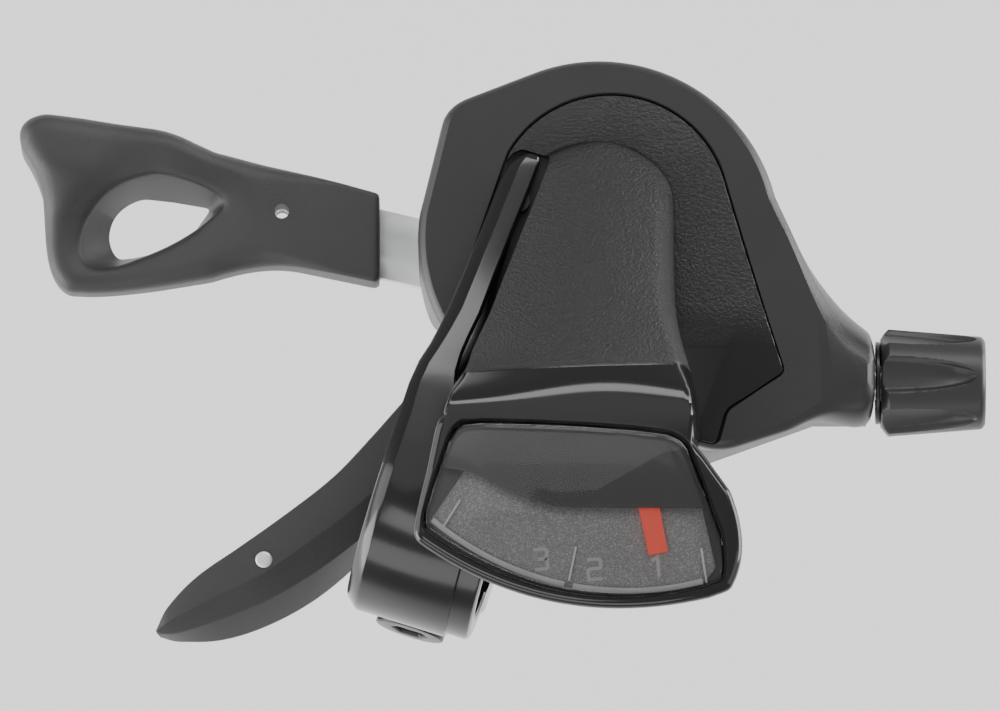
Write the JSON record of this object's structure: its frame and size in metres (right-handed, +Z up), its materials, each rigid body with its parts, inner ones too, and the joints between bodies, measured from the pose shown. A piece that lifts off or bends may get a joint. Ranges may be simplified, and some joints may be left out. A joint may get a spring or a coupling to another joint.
{
  "type": "thumb shifter",
  "caption": "Left-hand indexed gear shifter for a handlebar: clamp, push and release levers, ratchet spool, dial display with needle and cable barrel adjuster.",
  "frame": {"origin": "centre of the handlebar bore, halfway along the clamp band", "axes": "+X along the handlebar towards the stem, +Y forward away from the rider, +Z up towards the display"},
  "size_m": [0.1224, 0.0803, 0.0501],
  "materials": {
    "satin_black": "moulded black plastic with a fine satin grain",
    "gloss_black": "black plastic, fine matte grain on the dome and polished towards the display",
    "window_black": "flat black printed panel behind the window",
    "clamp_black": "black coated alloy, half gloss",
    "textured_black": "moulded black plastic with a spark-eroded grain",
    "spool_plastic": "dark acetal",
    "zinc_steel": "bright zinc plated steel sheet",
    "screw_steel": "plated steel, lightly brushed",
    "hard_steel": "hardened steel, dull",
    "spring_steel": "drawn spring wire",
    "brass": "turned brass",
    "window_clear": "clear polished window",
    "dial_grey": "mid-grey dial with a fine sparkle",
    "needle_red": "red painted pointer"
  },
  "bodies": {
    "base": {"housing": "satin_black", "lower_cover": "satin_black", "centre_cover": "gloss_black", "window_mask": "window_black", "clamp_bracket": "clamp_black", "base_plate": "zinc_steel", "clamp_bolt": "screw_steel", "clamp_nut": "screw_steel", "bracket_screws": "screw_steel", "base_screws": "screw_steel", "cover_screws": "screw_steel", "main_axle": "screw_steel", "axle_washer": "screw_steel", "axle_nut": "screw_steel", "holding_pawl_pin": "screw_steel", "indicator_pivot": "screw_steel", "thumb_lever_spring": "spring_steel", "release_lever_spring": "spring_steel", "spool_spring": "spring_steel", "holding_pawl_spring": "spring_steel", "adjuster_spring": "spring_steel", "spacer_bush": "brass", "lever_bushes": "brass", "adjuster_insert": "brass", "window_lens": "window_clear", "dial_plate": "dial_grey"},
    "thumb_lever": {"thumb_lever_plate": "zinc_steel", "thumb_pad": "textured_black", "thumb_pad_rivet": "zinc_steel", "feed_pawl_pin": "screw_steel", "feed_pawl_spring": "spring_steel"},
    "feed_pawl": {"feed_pawl": "hard_steel"},
    "release_lever": {"release_lever_plate": "zinc_steel", "release_paddle": "textured_black", "release_tab": "screw_steel"},
    "cable_spool": {"cable_spool": "spool_plastic", "ratchet_plate": "hard_steel", "indicator_drive_pin": "screw_steel"},
    "holding_pawl": {"holding_pawl": "hard_steel"},
    "indicator": {"indicator_needle": "needle_red"},
    "adjuster_collar": {"adjuster_collar": "screw_steel"},
    "barrel_adjuster": {"barrel_adjuster": "satin_black", "adjuster_screw": "screw_steel"}
  },
  "joints": [
    {"name": "thumb_lever", "type": "hinge", "parent": "base", "child": "thumb_lever", "pos_m": [0.01, 0.0335, -0.0209], "axis": [0, 0, -1], "range_deg": [0, 35], "stiffness_Nm_per_rad": 0.12, "springref_deg": -20.05},
    {"name": "release_lever", "type": "hinge", "parent": "base", "child": "release_lever", "pos_m": [0.01, 0.0335, -0.01605], "axis": [0, 0, 1], "range_deg": [0, 8], "stiffness_Nm_per_rad": 0.12, "springref_deg": -20.05},
    {"name": "cable_spool", "type": "hinge", "parent": "base", "child": "cable_spool", "pos_m": [0.01, 0.0335, -0.0055], "axis": [0, 0, -1], "range_deg": [0, 48]},
    {"name": "feed_pawl", "type": "hinge", "parent": "thumb_lever", "child": "feed_pawl", "pos_m": [-0.00621, 0.03861, -0.00925], "axis": [0, 0, 1], "range_deg": [0, 6], "stiffness_Nm_per_rad": 0.004, "springref_deg": -20.05},
    {"name": "holding_pawl", "type": "hinge", "parent": "base", "child": "holding_pawl", "pos_m": [0.0139, 0.05107, -0.00925], "axis": [0, 0, 1], "range_deg": [0, 6]},
    {"name": "indicator", "type": "hinge", "parent": "base", "child": "indicator", "pos_m": [0.00586, 0.04823, 0.0003], "axis": [0, 0, -1], "range_deg": [0, 15]},
    {"name": "adjuster_travel", "type": "slide", "parent": "base", "child": "adjuster_collar", "axis": [0.9537, 0.3007, 0], "range_m": [0, 0.003]},
    {"name": "adjuster_turn", "type": "hinge", "parent": "adjuster_collar", "child": "barrel_adjuster", "pos_m": [0.04587, 0.03181, -0.0055], "axis": [0.9537, 0.3007, 0], "range_deg": [0, 1080]}
  ],
  "couplings": [
    {"joint": "holding_pawl", "follows": "release_lever", "ratio": 0.75},
    {"joint": "indicator", "follows": "cable_spool", "ratio": 0.30368},
    {"joint": "adjuster_turn", "follows": "adjuster_travel", "rad_per_m": 6282.6}
  ]
}
